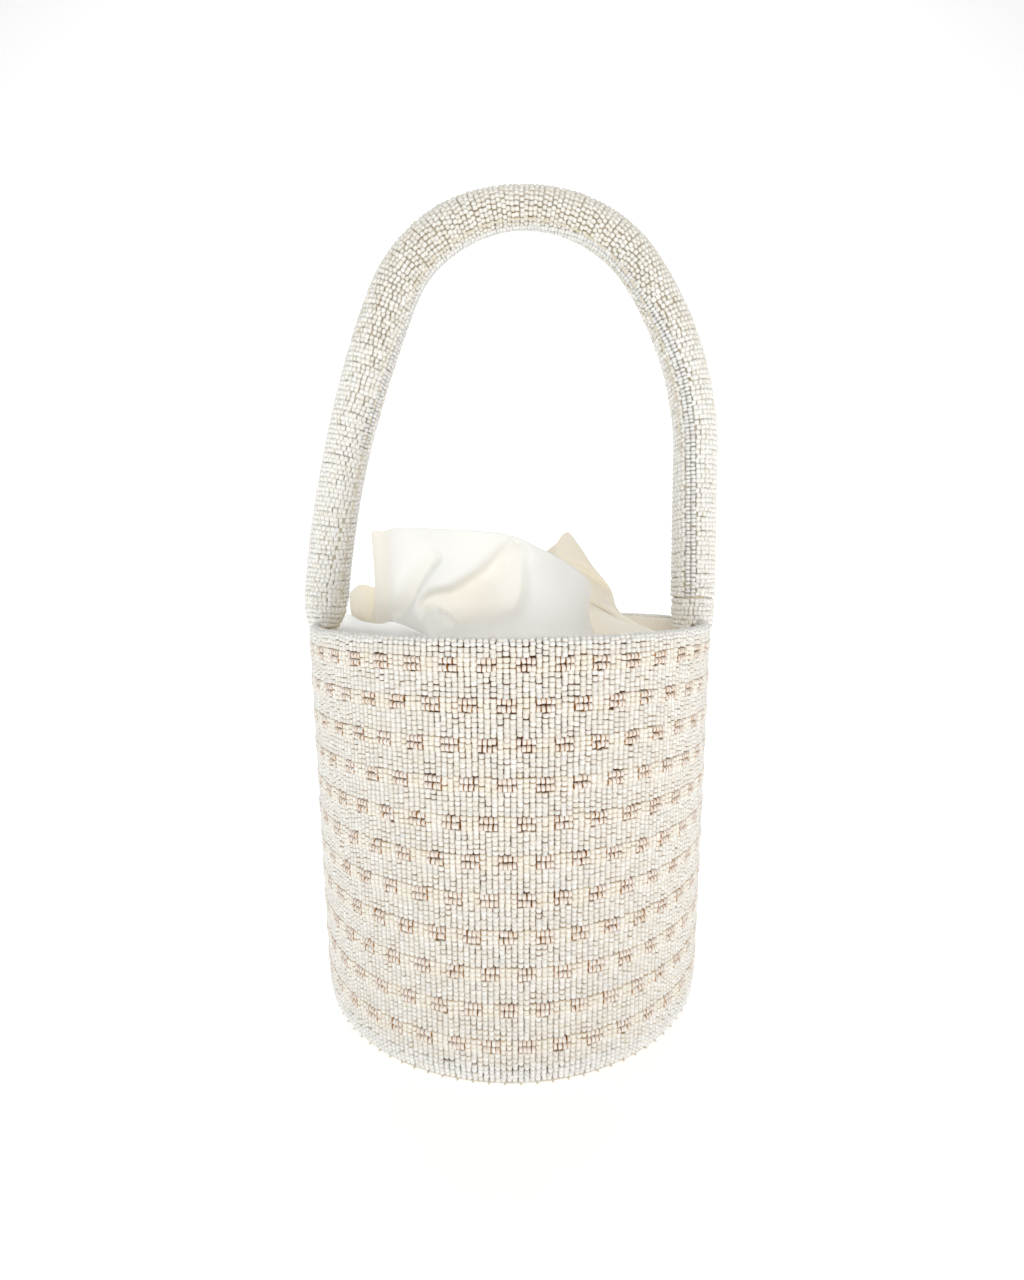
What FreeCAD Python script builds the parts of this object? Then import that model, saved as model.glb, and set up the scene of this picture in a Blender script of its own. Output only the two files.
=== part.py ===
"""A flower girl basket: a stiff bucket covered in seed beads, with a padded, beaded handle.

The origin is the centre of the base's underside, +Z is up, and X runs through the two ends of the
handle. Lengths are millimetres. The bucket is a slim cone built up in layers, so every layer is
given by its inset: how far it lies inside the outermost surface of the raised beads.
"""

import FreeCAD, Part
import math
import os

import Sketcher
from FreeCAD import Placement, Rotation, Vector

DIMENSIONS = (
    # the bucket's outline, over the raised beads
    ("rim_radius", 75.0),
    ("base_radius", 71.6),
    ("rim_height", 136.0),
    # the wall's layers, from the outside inwards
    ("accent_rise", 0.4),
    ("bead_depth", 1.6),
    ("cloth_thickness", 0.4),
    ("card_thickness", 1.4),
    ("lining_gap", 0.8),
    ("satin_thickness", 0.4),
    # the pattern courses of beads round the wall
    ("course_count", 11),
    ("course_pitch", 11.52),
    ("first_course_drop", 7.8),
    ("accent_half_height", 2.4),
    # the base, from the floor upwards
    ("cover_thickness", 0.6),
    ("board_thickness", 2.0),
    ("foot_clearance", 0.3),
    # the rim
    ("rim_fold_depth", 1.6),
    ("rim_round", 0.7),
    ("lining_drop", 1.2),
    # the loose satin pouch that stands out of the mouth
    ("pouch_join_depth", 32.0),
    ("pouch_band_height", 8.0),
    ("pouch_throat_radius", 57.0),
    ("pouch_top_radius", 54.0),
    ("pouch_top_rise", 33.0),
    ("pouch_left_rise", 13.0),
    ("pouch_left_reach", 51.0),
    ("pouch_left_slope", 3.0),
    ("pouch_right_rise", 4.0),
    ("pouch_right_reach", 28.0),
    ("pouch_thickness", 1.2),
    # the handle: a padded tube whose centreline is three tangent arcs and a straight foot
    ("handle_radius", 8.5),
    ("handle_bead_depth", 1.8),
    ("sleeve_thickness", 0.5),
    ("handle_clearance", 0.3),
    ("foot_reach", 70.8),
    ("crown_rise", 152.0),
    ("crown_lean", 6.0),
    ("crown_radius", 53.0),
    ("left_flank_radius", 390.0),
    ("right_flank_radius", 119.0),
    # the cloth tabs that hold the handle's ends
    ("tab_thickness", 0.7),
    ("tab_half_angle", 6.0),
    ("tab_depth", 25.0),
    # thread
    ("thread_size", 0.5),
    ("thread_relief", 0.25),
    ("slip_stitch_count", 60),
    ("slip_stitch_skip", 10.0),
    ("base_stitch_count", 90),
    ("gather_stitch_count", 72),
    ("gather_stitch_length", 2.4),
    ("bar_tack_length", 8.0),
    ("bar_tack_count", 3),
    ("bar_tack_pitch", 6.0),
    ("seam_stitch_count", 46),
    ("seam_stitch_length", 4.0),
    ("seam_turn", 35.0),
)

doc = FreeCAD.newDocument("FlowerGirlBasket")
sheet = doc.addObject("Spreadsheet::Sheet", "Sizes")
parts = []


# ---- the sheet ---------------------------------------------------------------------------------


def fill_sheet():
    """Writes each driving dimension to a cell of its own and gives the cell its alias."""
    for row, (alias, value) in enumerate(DIMENSIONS, start=1):
        sheet.set(f"A{row}", alias)
        sheet.set(f"B{row}", str(value))
        sheet.setAlias(f"B{row}", alias)
    doc.recompute()


def size(alias):
    """The number in the cell with that alias."""
    return float(sheet.get(alias))


# ---- sizes that several sub-parts share, as expressions of the sheet's cells --------------------

BEAD_INSET = "Sizes.accent_rise + Sizes.bead_depth"
CLOTH_INSET = f"{BEAD_INSET} + Sizes.cloth_thickness"
CARD_INSET = f"{CLOTH_INSET} + Sizes.card_thickness"
TAB_INSET = f"{CARD_INSET} + Sizes.tab_thickness"
LINING_INSET = f"{CARD_INSET} + Sizes.lining_gap"
INNER_INSET = f"{LINING_INSET} + Sizes.satin_thickness"
BOARD_TOP = "Sizes.cover_thickness + Sizes.board_thickness"
FLOOR_TOP = f"{BOARD_TOP} + Sizes.satin_thickness"
EDGING_TOP = (
    "Sizes.rim_height - Sizes.first_course_drop"
    " - Sizes.course_pitch * (Sizes.course_count - 0.5)"
)
RIM_BAND = "Sizes.rim_height - Sizes.first_course_drop + Sizes.course_pitch / 2"
WALL_TOP = "Sizes.rim_height - Sizes.rim_fold_depth"
POUCH_FOOT = "Sizes.rim_height - Sizes.pouch_join_depth"
PIVOT_HEIGHT = "Sizes.rim_height + Sizes.handle_clearance + Sizes.handle_radius"


def wall(height, inset):
    """The wall's radius at a height, so far inside the raised beads."""
    slope = "(Sizes.rim_radius - Sizes.base_radius) / Sizes.rim_height"
    return f"Sizes.base_radius + {slope} * ({height}) - ({inset})"


def pivot_height():
    return size("rim_height") + size("handle_clearance") + size("handle_radius")


# ---- how sub-parts are made --------------------------------------------------------------------


def new_body(label):
    body = doc.addObject("PartDesign::Body", label)
    body.Label = label
    parts.append(body)
    return body


def origin_feature(body, role):
    return next(f for f in body.Origin.OriginFeatures if f.Role == role)


def new_sketch(body, name, plane):
    """A sketch on one of the body's own origin planes."""
    sketch = body.newObject("Sketcher::SketchObject", f"{body.Name}_{name}")
    sketch.AttachmentSupport = [(origin_feature(body, plane), "")]
    sketch.MapMode = "FlatFace"
    return sketch


def constrain(sketch, expression, *constraint):
    """Adds a constraint whose value is an expression."""
    index = sketch.addConstraint(Sketcher.Constraint(*constraint))
    sketch.setExpression(f"Constraints[{index}]", expression)


def outline(body, name, corners):
    """A closed outline in the XZ plane. Each corner is a pair of expressions, across and up."""
    sketch = new_sketch(body, name, "XZ_Plane")
    count = len(corners)
    turns = [2 * math.pi * i / count for i in range(count)]
    start = [Vector(50 + 9 * math.cos(turn), 50 + 9 * math.sin(turn)) for turn in turns]
    for i in range(count):
        sketch.addGeometry(Part.LineSegment(start[i], start[(i + 1) % count]), False)
    for i in range(count):
        sketch.addConstraint(Sketcher.Constraint("Coincident", i, 2, (i + 1) % count, 1))
    for i, (across, up) in enumerate(corners):
        constrain(sketch, across, "DistanceX", i, 1, start[i].x)
        constrain(sketch, up, "DistanceY", i, 1, start[i].y)
    return sketch


def ring(label, corners, half_angle=None):
    """An outline turned about +Z, all the way round or so far to each side of +X."""
    body = new_body(label)
    turned = body.newObject("PartDesign::Revolution", f"{label}_turned")
    turned.Profile = outline(body, "outline", corners)
    turned.ReferenceAxis = (turned.Profile[0], ["V_Axis"])
    turned.Angle = 360
    if half_angle:
        turned.Midplane = True
        turned.setExpression("Angle", f"2 * {half_angle}")
    return body


def disc(label, radius, bottom, top):
    return ring(label, [("0", bottom), (radius, bottom), (radius, top), ("0", top)])


def layer(label, outer_inset, inner_inset, bottom, top):
    """One layer of the wall: the ring between two insets and two heights."""
    corners = [
        (wall(bottom, outer_inset), bottom),
        (wall(top, outer_inset), top),
        (wall(top, inner_inset), top),
        (wall(bottom, inner_inset), bottom),
    ]
    return ring(label, corners)


def cut_through(body, name, corners):
    """Removes what lies behind and in front of an outline in the XZ plane."""
    doc.recompute()
    before = body.Shape.Volume
    cut = body.newObject("PartDesign::Pocket", f"{body.Name}_{name}")
    cut.Profile = outline(body, f"{name}_outline", corners)
    cut.Midplane = True
    cut.setExpression("Length", "4 * Sizes.rim_radius")
    doc.recompute()
    if body.Shape.Volume >= before:
        raise RuntimeError(f"{name} cuts nothing from {body.Label}")


def stitch_ring(label, corners, count):
    """Equal stitches all the way round: an outline, one thread thick, repeated about +Z."""
    body = new_body(label)
    body.AllowCompound = True
    stitch = body.newObject("PartDesign::Pad", f"{label}_stitch")
    stitch.Profile = outline(body, "outline", corners)
    stitch.Midplane = True
    stitch.setExpression("Length", "Sizes.thread_size")
    return repeat_round(body, stitch, count)


def repeat_round(body, stitch, count):
    pattern = body.newObject("PartDesign::PolarPattern", f"{body.Name}_round")
    pattern.Originals = [stitch]
    pattern.Axis = (origin_feature(body, "Z_Axis"), [""])
    pattern.Angle = 360
    pattern.setExpression("Occurrences", count)
    body.Tip = pattern
    return body


def group(label, solids):
    """Separate small solids that share one node."""
    feature = doc.addObject("Part::Feature", label)
    feature.Shape = Part.makeCompound(solids)
    feature.Label = label
    parts.append(feature)
    return feature


# ---- the bucket --------------------------------------------------------------------------------


def make_base():
    disc("base_cover", wall("0", BEAD_INSET), "0", "Sizes.cover_thickness")
    disc("base_board", wall("0", CARD_INSET), "Sizes.cover_thickness", BOARD_TOP)
    disc("base_lining", wall("0", LINING_INSET), BOARD_TOP, FLOOR_TOP)


def make_wall():
    foot = "Sizes.cover_thickness"
    layer("wall_stiffener", CLOTH_INSET, CARD_INSET, foot, WALL_TOP)
    layer("wall_ground_cloth", BEAD_INSET, CLOTH_INSET, foot, WALL_TOP)
    layer("wall_lining", LINING_INSET, INNER_INSET, FLOOR_TOP, "Sizes.rim_height - Sizes.lining_drop")


def make_bead_course(number):
    """One pattern course: flat beads above and below, with a raised row in the middle."""
    middle = (
        f"Sizes.rim_height - Sizes.first_course_drop - Sizes.course_pitch * {number - 1}"
    )
    bottom, top = f"{middle} - Sizes.course_pitch / 2", f"{middle} + Sizes.course_pitch / 2"
    low, high = f"{middle} - Sizes.accent_half_height", f"{middle} + Sizes.accent_half_height"
    low_foot, high_foot = f"{low} - Sizes.accent_rise", f"{high} + Sizes.accent_rise"
    flat = "Sizes.accent_rise"
    corners = [
        (wall(bottom, BEAD_INSET), bottom),
        (wall(bottom, flat), bottom),
        (wall(low_foot, flat), low_foot),
        (wall(low, "0"), low),
        (wall(high, "0"), high),
        (wall(high_foot, flat), high_foot),
        (wall(top, flat), top),
        (wall(top, BEAD_INSET), top),
    ]
    return ring(f"bead_course_{number:02d}", corners)


def make_bead_edgings():
    """The beads that fold over the rim, and those round the foot, which curve in to the base."""
    top = "Sizes.rim_height"
    shoulder = "Sizes.rim_height - Sizes.rim_round"
    corners = [
        (wall(RIM_BAND, BEAD_INSET), RIM_BAND),
        (wall(RIM_BAND, "Sizes.accent_rise"), RIM_BAND),
        (wall(shoulder, "Sizes.accent_rise"), shoulder),
        (wall(top, "Sizes.accent_rise + Sizes.rim_round"), top),
        (wall(top, f"{CARD_INSET} - Sizes.rim_round"), top),
        (wall(shoulder, CARD_INSET), shoulder),
        (wall(WALL_TOP, CARD_INSET), WALL_TOP),
        (wall(WALL_TOP, BEAD_INSET), WALL_TOP),
    ]
    ring("rim_bead_edging", corners)
    foot = "Sizes.foot_clearance"
    turn = "Sizes.foot_clearance + Sizes.bead_depth"
    corners = [
        (wall(foot, BEAD_INSET), foot),
        (wall(foot, "Sizes.accent_rise + Sizes.bead_depth / 2"), foot),
        (wall(turn, "Sizes.accent_rise"), turn),
        (wall(EDGING_TOP, "Sizes.accent_rise"), EDGING_TOP),
        (wall(EDGING_TOP, BEAD_INSET), EDGING_TOP),
    ]
    ring("base_bead_edging", corners)


def make_pouch():
    """A band on the lining, a slope in to the throat, and a collar that stands above the rim."""
    band_top = f"{POUCH_FOOT} + Sizes.pouch_band_height"
    throat, top = "Sizes.rim_height", "Sizes.rim_height + Sizes.pouch_top_rise"
    inset = f"{INNER_INSET} + Sizes.pouch_thickness"
    corners = [
        (wall(POUCH_FOOT, INNER_INSET), POUCH_FOOT),
        (wall(band_top, INNER_INSET), band_top),
        ("Sizes.pouch_throat_radius", throat),
        ("Sizes.pouch_top_radius", top),
        ("Sizes.pouch_top_radius - Sizes.pouch_thickness", top),
        ("Sizes.pouch_throat_radius - Sizes.pouch_thickness", throat),
        (wall(band_top, inset), band_top),
        (wall(POUCH_FOOT, inset), POUCH_FOOT),
    ]
    collar = ring("pouch_collar", corners)
    outside = "Sizes.pouch_throat_radius + Sizes.pouch_thickness"
    left = "Sizes.rim_height + Sizes.pouch_left_rise"
    right = "Sizes.rim_height + Sizes.pouch_right_rise"
    above = f"{top} + Sizes.pouch_thickness"
    cut_through(
        collar,
        "left_dip",
        [
            (f"-({outside})", left),
            ("-Sizes.pouch_left_reach", left),
            ("Sizes.pouch_left_slope - Sizes.pouch_left_reach", above),
            (f"-({outside})", above),
        ],
    )
    cut_through(
        collar,
        "right_dip",
        [("Sizes.pouch_right_reach", above), (outside, right), (outside, above)],
    )


def make_tab(label, turn):
    """A cloth tab that lies between the card and the lining and ends flush with the rim."""
    bottom, top = "Sizes.rim_height - Sizes.tab_depth", "Sizes.rim_height"
    corners = [
        (wall(bottom, CARD_INSET), bottom),
        (wall(top, CARD_INSET), top),
        (wall(top, TAB_INSET), top),
        (wall(bottom, TAB_INSET), bottom),
    ]
    tab = ring(label, corners, "Sizes.tab_half_angle")
    tab.Placement = Placement(Vector(), Rotation(Vector(0, 0, 1), turn))


# ---- the handle --------------------------------------------------------------------------------


class HandleLine:
    """The centres and angles of the handle's arcs, seen from the front."""

    def __init__(self):
        crown, left, right = (
            size(f"{name}_radius") for name in ("crown", "left_flank", "right_flank")
        )
        rise = size("rim_height") + size("crown_rise")
        self.foot = Vector(size("foot_reach"), pivot_height())
        self.left_foot = Vector(-size("foot_reach"), pivot_height())
        self.crown = Vector(size("crown_lean"), rise - crown)
        across = self.foot.x - right
        drop = math.sqrt((right - crown) ** 2 - (across - self.crown.x) ** 2)
        self.right = Vector(across, self.crown.y - drop)
        self.left = self.meeting(self.crown, left - crown, self.left_foot, left)
        self.angles = (
            0.0,
            self.bearing(self.right, self.crown),
            math.pi + self.bearing(self.crown, self.left),
            math.pi + self.bearing(self.left_foot, self.left),
        )

    @staticmethod
    def bearing(start, end):
        return math.atan2(end.y - start.y, end.x - start.x)

    @staticmethod
    def meeting(first, first_radius, second, second_radius):
        """Where two circles cross, to the right of the line from the first to the second."""
        between = second - first
        span = between.Length
        along = (first_radius**2 - second_radius**2 + span**2) / (2 * span)
        off = math.sqrt(first_radius**2 - along**2)
        unit = between / span
        return first + unit * along + Vector(-unit.y, unit.x) * off


def handle_path(body, line):
    """The centreline as a sketch: the straight right foot, then three tangent arcs."""
    sketch = new_sketch(body, "path", "XZ_Plane")
    knee = Vector(line.foot.x, line.right.y)
    sketch.addGeometry(Part.LineSegment(line.foot, knee), False)
    radii = ("right_flank_radius", "crown_radius", "left_flank_radius")
    centres = (line.right, line.crown, line.left)
    for i, (alias, centre) in enumerate(zip(radii, centres)):
        circle = Part.Circle(centre, Vector(0, 0, 1), size(alias))
        arc = Part.ArcOfCircle(circle, line.angles[i], line.angles[i + 1])
        sketch.addGeometry(arc, False)
    sketch.addConstraint(Sketcher.Constraint("Vertical", 0))
    for i in range(3):
        sketch.addConstraint(Sketcher.Constraint("Tangent", i, 2, i + 1, 1))
        constrain(sketch, f"Sizes.{radii[i]}", "Radius", i + 1, size(radii[i]))
    rise = "Sizes.rim_height + Sizes.crown_rise - Sizes.crown_radius"
    constrain(sketch, "Sizes.foot_reach", "DistanceX", 0, 1, line.foot.x)
    constrain(sketch, PIVOT_HEIGHT, "DistanceY", 0, 1, line.foot.y)
    constrain(sketch, "Sizes.crown_lean", "DistanceX", 2, 3, line.crown.x)
    constrain(sketch, rise, "DistanceY", 2, 3, line.crown.y)
    constrain(sketch, "-Sizes.foot_reach", "DistanceX", 3, 2, line.left_foot.x)
    constrain(sketch, PIVOT_HEIGHT, "DistanceY", 3, 2, line.left_foot.y)
    return sketch


def handle_tube(label, line, radii):
    """A tube along the centreline, between the given radii, or solid where only one is given."""
    body = new_body(label)
    section = new_sketch(body, "section", "XY_Plane")
    section.setExpression("AttachmentOffset.Base.z", PIVOT_HEIGHT)
    for i, radius in enumerate(radii):
        circle = Part.Circle(Vector(line.foot.x, 0), Vector(0, 0, 1), 4 + i)
        section.addGeometry(circle, False)
        constrain(section, radius, "Radius", i, 4 + i)
        constrain(section, "Sizes.foot_reach", "DistanceX", i, 3, line.foot.x)
        section.addConstraint(Sketcher.Constraint("PointOnObject", i, 3, -1))
    tube = body.newObject("PartDesign::AdditivePipe", f"{label}_tube")
    tube.Profile = section
    tube.Spine = handle_path(body, line)
    return body


def handle_end(label, foot, lean):
    """The sewn end: the tube carried on past its foot, inside a roll about the hinge axis."""
    tube = end_cylinder(f"{label}_tube", "2 * Sizes.handle_radius")
    tube.Placement = Placement(Vector(foot.x, 0, foot.y), Rotation(Vector(0, 1, 0), 180 + lean))
    roll = end_cylinder(f"{label}_roll", "4 * Sizes.handle_radius")
    start = Vector(foot.x - 2 * size("handle_radius"), 0, foot.y)
    roll.Placement = Placement(start, Rotation(Vector(0, 1, 0), 90))
    end = doc.addObject("Part::Common", label)
    end.Label = label
    end.Base, end.Tool = tube, roll
    parts.append(end)


def end_cylinder(name, length):
    cylinder = doc.addObject("Part::Cylinder", name)
    cylinder.setExpression("Radius", "Sizes.handle_radius")
    cylinder.setExpression("Height", length)
    return cylinder


def point_on_handle(line, share):
    """A point of the arch's three arcs and the direction to its inner side, by share of angle."""
    radii = [size(f"{name}_radius") for name in ("right_flank", "crown", "left_flank")]
    centres = (line.right, line.crown, line.left)
    turns = [line.angles[i + 1] - line.angles[i] for i in range(3)]
    lengths = [radius * turn for radius, turn in zip(radii, turns)]
    distance = share * sum(lengths)
    arc = 0
    while arc < 2 and distance > lengths[arc]:
        distance -= lengths[arc]
        arc += 1
    angle = line.angles[arc] + distance / radii[arc]
    outward = Vector(math.cos(angle), 0, math.sin(angle))
    centre = Vector(centres[arc].x, 0, centres[arc].y)
    return centre + outward * radii[arc], -outward


def make_handle():
    line = HandleLine()
    sleeve = "Sizes.handle_radius - Sizes.handle_bead_depth"
    core = f"{sleeve} - Sizes.sleeve_thickness"
    handle_tube("handle_core", line, [core])
    handle_tube("handle_sleeve", line, [sleeve, core])
    handle_tube("handle_bead_cover", line, ["Sizes.handle_radius", sleeve])
    lean = 180 - math.degrees(line.angles[3])
    handle_end("left_handle_end", line.left_foot, lean)
    handle_end("right_handle_end", line.foot, 0)
    return line


# ---- thread ------------------------------------------------------------------------------------


def stitch_box(length, width, height, centre, direction, out):
    """A flat stitch: a box centred on a point, long along direction and standing out by height."""
    box = Part.makeBox(length, width, height, Vector(-length / 2, -width / 2, 0))
    side = out.cross(direction)
    matrix = FreeCAD.Matrix(
        direction.x, side.x, out.x, centre.x,
        direction.y, side.y, out.y, centre.y,
        direction.z, side.z, out.z, centre.z,
    )
    return box.transformGeometry(matrix)


def make_handle_seam(line):
    """Stitches along the tube's inner side, turned towards the front, just clear of its curve."""
    solids = []
    count = int(size("seam_stitch_count"))
    tightest = size("crown_radius") - size("handle_radius")
    lift = size("seam_stitch_length") ** 2 / (8 * tightest)
    turn = math.radians(size("seam_turn"))
    front = Vector(0, -1, 0)
    for i in range(count):
        point, inner = point_on_handle(line, (i + 0.5) / count)
        out = inner * math.cos(turn) + front * math.sin(turn)
        along = inner.cross(front)
        centre = point + out * (size("handle_radius") + lift)
        solids.append(
            stitch_box(
                size("seam_stitch_length"), size("thread_size"), size("thread_relief"),
                centre, along, out,
            )
        )
    group("handle_seam_stitches", solids)


def make_bar_tacks(label, side):
    """Short bars of thread on the lining, over the tab, one above another."""
    solids = []
    slope = (size("rim_radius") - size("base_radius")) / size("rim_height")
    layers = ("accent_rise", "bead_depth", "cloth_thickness", "card_thickness")
    inset = sum(size(alias) for alias in layers + ("lining_gap", "satin_thickness"))
    for i in range(int(size("bar_tack_count"))):
        height = size("rim_height") - size("bar_tack_pitch") * (i + 1)
        radius = size("base_radius") + slope * height - inset
        sagitta = size("bar_tack_length") ** 2 / (8 * radius)
        centre = Vector(side * (radius - sagitta - slope * size("thread_size")), 0, height)
        solids.append(
            stitch_box(
                size("bar_tack_length"), size("thread_size"), size("thread_relief"),
                centre, Vector(0, 1, 0), Vector(-side, 0, 0),
            )
        )
    group(label, solids)


def make_rim_stitches():
    """Stitches across the gap between the lining's top edge and the rim, clear of the tabs."""
    solids = []
    slope = (size("rim_radius") - size("base_radius")) / size("rim_height")
    height = size("rim_height") - size("lining_drop")
    layers = ("accent_rise", "bead_depth", "cloth_thickness", "card_thickness")
    outer = size("base_radius") + slope * height - sum(size(alias) for alias in layers)
    length = size("lining_gap") + size("satin_thickness") / 2
    count = int(size("slip_stitch_count"))
    skip = size("slip_stitch_skip")
    for side in (0, 180):
        for i in range(count):
            angle = math.radians(side + skip + (180 - 2 * skip) * (i + 0.5) / count)
            out = Vector(math.cos(angle), math.sin(angle), 0)
            centre = out * (outer - length / 2) + Vector(0, 0, height)
            solids.append(
                stitch_box(
                    length, size("thread_size"), size("thread_relief"),
                    centre, out, Vector(0, 0, 1),
                )
            )
    group("rim_slip_stitches", solids)


def make_base_stitches():
    """Stitches under the lowest beads, just outside the base cover and clear of the floor."""
    low, high = "Sizes.foot_clearance - Sizes.thread_relief", "Sizes.foot_clearance"
    inner, outer = wall("0", BEAD_INSET), wall("0", "Sizes.accent_rise + Sizes.bead_depth / 2")
    stitch_ring(
        "base_seam_stitches",
        [(inner, low), (outer, low), (outer, high), (inner, high)],
        "Sizes.base_stitch_count",
    )


def make_pouch_stitches():
    """Upright running stitches on the inner face of the pouch's band."""
    middle = f"{POUCH_FOOT} + Sizes.pouch_band_height / 2"
    low = f"{middle} - Sizes.gather_stitch_length / 2"
    high = f"{middle} + Sizes.gather_stitch_length / 2"
    face = f"{INNER_INSET} + Sizes.pouch_thickness"
    proud = f"{face} + Sizes.thread_relief"
    corners = [
        (wall(low, proud), low),
        (wall(low, face), low),
        (wall(high, face), high),
        (wall(high, proud), high),
    ]
    stitch_ring("pouch_gather_stitches", corners, "Sizes.gather_stitch_count")


# ---- the whole basket --------------------------------------------------------------------------


def check_document():
    """Stops if any object failed, or if any sub-part has no sound solid."""
    for item in doc.Objects:
        if "Invalid" in item.State or "Error" in item.State:
            raise RuntimeError(f"{item.Name} is {item.State}")
    for part in parts:
        if part.Shape.isNull() or not part.Shape.isValid() or not part.Shape.Solids:
            raise RuntimeError(f"{part.Label} has no sound solid")


def export_parts():
    os.makedirs("parts", exist_ok=True)
    for part in parts:
        part.Shape.exportStep(f"parts/{part.Label}.step")


def main():
    fill_sheet()
    make_base()
    make_wall()
    for number in range(1, int(size("course_count")) + 1):
        make_bead_course(number)
    make_bead_edgings()
    make_pouch()
    make_tab("right_handle_tab", 0)
    make_tab("left_handle_tab", 180)
    line = make_handle()
    make_handle_seam(line)
    make_bar_tacks("right_tab_stitches", 1)
    make_bar_tacks("left_tab_stitches", -1)
    make_rim_stitches()
    make_base_stitches()
    make_pouch_stitches()
    doc.recompute()
    check_document()
    export_parts()


main()
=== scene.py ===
"""A flower girl basket: a beaded bucket, a loose satin pouch in its mouth, a beaded handle that folds."""

import math

import bpy
import numpy as np
from mathutils import Euler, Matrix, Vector


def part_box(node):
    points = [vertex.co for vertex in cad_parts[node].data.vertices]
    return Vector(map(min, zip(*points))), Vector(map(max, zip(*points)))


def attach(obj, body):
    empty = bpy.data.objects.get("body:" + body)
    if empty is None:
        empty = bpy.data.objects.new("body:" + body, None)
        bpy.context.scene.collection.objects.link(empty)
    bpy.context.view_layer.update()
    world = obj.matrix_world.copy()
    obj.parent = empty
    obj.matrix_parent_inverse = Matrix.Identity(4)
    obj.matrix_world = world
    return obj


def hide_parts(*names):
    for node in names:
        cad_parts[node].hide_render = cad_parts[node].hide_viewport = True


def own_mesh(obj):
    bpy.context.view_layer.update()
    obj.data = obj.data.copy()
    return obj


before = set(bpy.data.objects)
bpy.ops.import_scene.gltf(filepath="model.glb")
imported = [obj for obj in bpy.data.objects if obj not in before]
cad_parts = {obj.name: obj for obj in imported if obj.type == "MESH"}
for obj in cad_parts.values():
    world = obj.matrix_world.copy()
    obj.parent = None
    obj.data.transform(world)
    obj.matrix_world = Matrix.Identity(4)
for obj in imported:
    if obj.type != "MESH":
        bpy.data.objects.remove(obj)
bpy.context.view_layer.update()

# ---- sizes, in metres ----

MM = 0.001

# the wall, over its raised beads, and how deep each layer lies inside that
RIM_RADIUS = 75 * MM
BASE_RADIUS = 71.6 * MM
RIM_HEIGHT = 136 * MM
PLAIN_INSET = 0.4 * MM
RAISED_INSET = 0.1 * MM
CLOTH_INSET = 2.1 * MM
LINING_INSET = 4.7 * MM
CLOTH_THICKNESS = 0.3 * MM

# the bead strings of the wall: upright columns, in courses of eight rows
COLUMN_COUNT = 252
PATTERN_COLUMNS = 6
SQUARE_COLUMNS = 3
COLUMN_START = 0.4
COURSE_COUNT = 11
COURSE_PITCH = 11.52 * MM
FIRST_COURSE_HEIGHT = 128.2 * MM
ROW_PITCH = COURSE_PITCH / 8
PLAIN_ROWS = (3, 2, -2, -3, -4)
RAISED_ROWS = (1, 0, -1)
TURNED_ROWS = (0.75, -0.75)
TURNED_PER_SQUARE = 4
PLAIN_WIDTH = 1.9 * MM
RAISED_WIDTH = 1.95 * MM
TURNED_WIDTH = 2.08 * MM
BEAD_LENGTH = 1.49 * MM
# how far a string rides up or down: most between two courses, least beside the squares
LIFT_BETWEEN = 0.32 * MM
LIFT_BESIDE = 0.2 * MM

# the last rows above the courses: an upright one, then three round a roll, each with its turn from
# the wall's face in degrees and its looseness. The roll's middle lies in from the face and below the top.
EDGE_WIDTH = 1.85 * MM
EDGE_INSET = 0.45 * MM
RIM_ROLL = 2.35 * MM
RIM_DROP = 1.85 * MM
ROLL_REACH = 1.0 * MM
ROLL_LENGTH = 1.45 * MM
ROLL_WIDTH = 1.75 * MM
ROLL_ROWS = ((48, 1.8), (94, 1.6), (140, 1.4))
# the rows that curve in under the base, each with its height and its inset in millimetres
BASE_ROWS = ((5.8, 0.4), (4.35, 0.45), (2.95, 0.7), (1.55, 1.15))

MAP_NAME = "OFBake"

# seeds for the unevenness of the strings and of each piece's beads; a repeated piece adds its number, or
# -1 at the left and 1 at the right
STRING_SEED = 99
COURSE_SEED = 100
RIM_SEED = 200
BASE_SEED = 201
HANDLE_SEED = 300
END_SEED = 310
FOOT_SEED = 320

# the handle: a padded tube on three tangent arcs and a straight right foot
FOOT_REACH = 70.8 * MM
PIVOT_HEIGHT = 144.8 * MM
CROWN_CENTRE = Vector((6 * MM, 235 * MM))
CROWN_RADIUS = 53 * MM
LEFT_RADIUS = 390 * MM
RIGHT_RADIUS = 119 * MM
HANDLE_RADIUS = 8.5 * MM
SLEEVE_RADIUS = 6.75 * MM
HANDLE_BEAD = 2.02 * MM
BEAD_REACH = HANDLE_RADIUS - HANDLE_BEAD / 2
RING_PITCH = 1.76 * MM
RING_STEP = 1.62 * MM
# where a ring's first bead lies after its seam, in beads, how much later every other ring starts and
# how much that varies, in radians
RING_START = 0.38
RING_STAGGER = 0.24
RING_JITTER = 0.02
# how far a ring wanders along the tube, how far its last third slants back towards the left foot, and how
# near the feet that slant fades away
RING_SWAY = 0.1 * MM
RING_SLANT = 1.5 * MM
SLANT_FADE = 14 * MM
# how far below the feet the rings of the handle's ends lie
END_DROPS = (1.75 * MM, 3.45 * MM, 5.0 * MM, 6.3 * MM, 7.1 * MM)
# how much the tube narrows below a foot, for each metre, on its inner and its outer side
END_TRIMS = (0.2, 0.12)
# the rings sewn round each foot and down inside the rim: their first drop below the hinge, how many
# there are with how fast their inner and outer sides draw in, and the height of their hinge point
FOOT_START = 4.5 * MM
LEFT_FOOT = (6, 33.0, 22.0)
RIGHT_FOOT = (5, 8.0, 5.0)
FOOT_ANCHOR = 132 * MM
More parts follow.
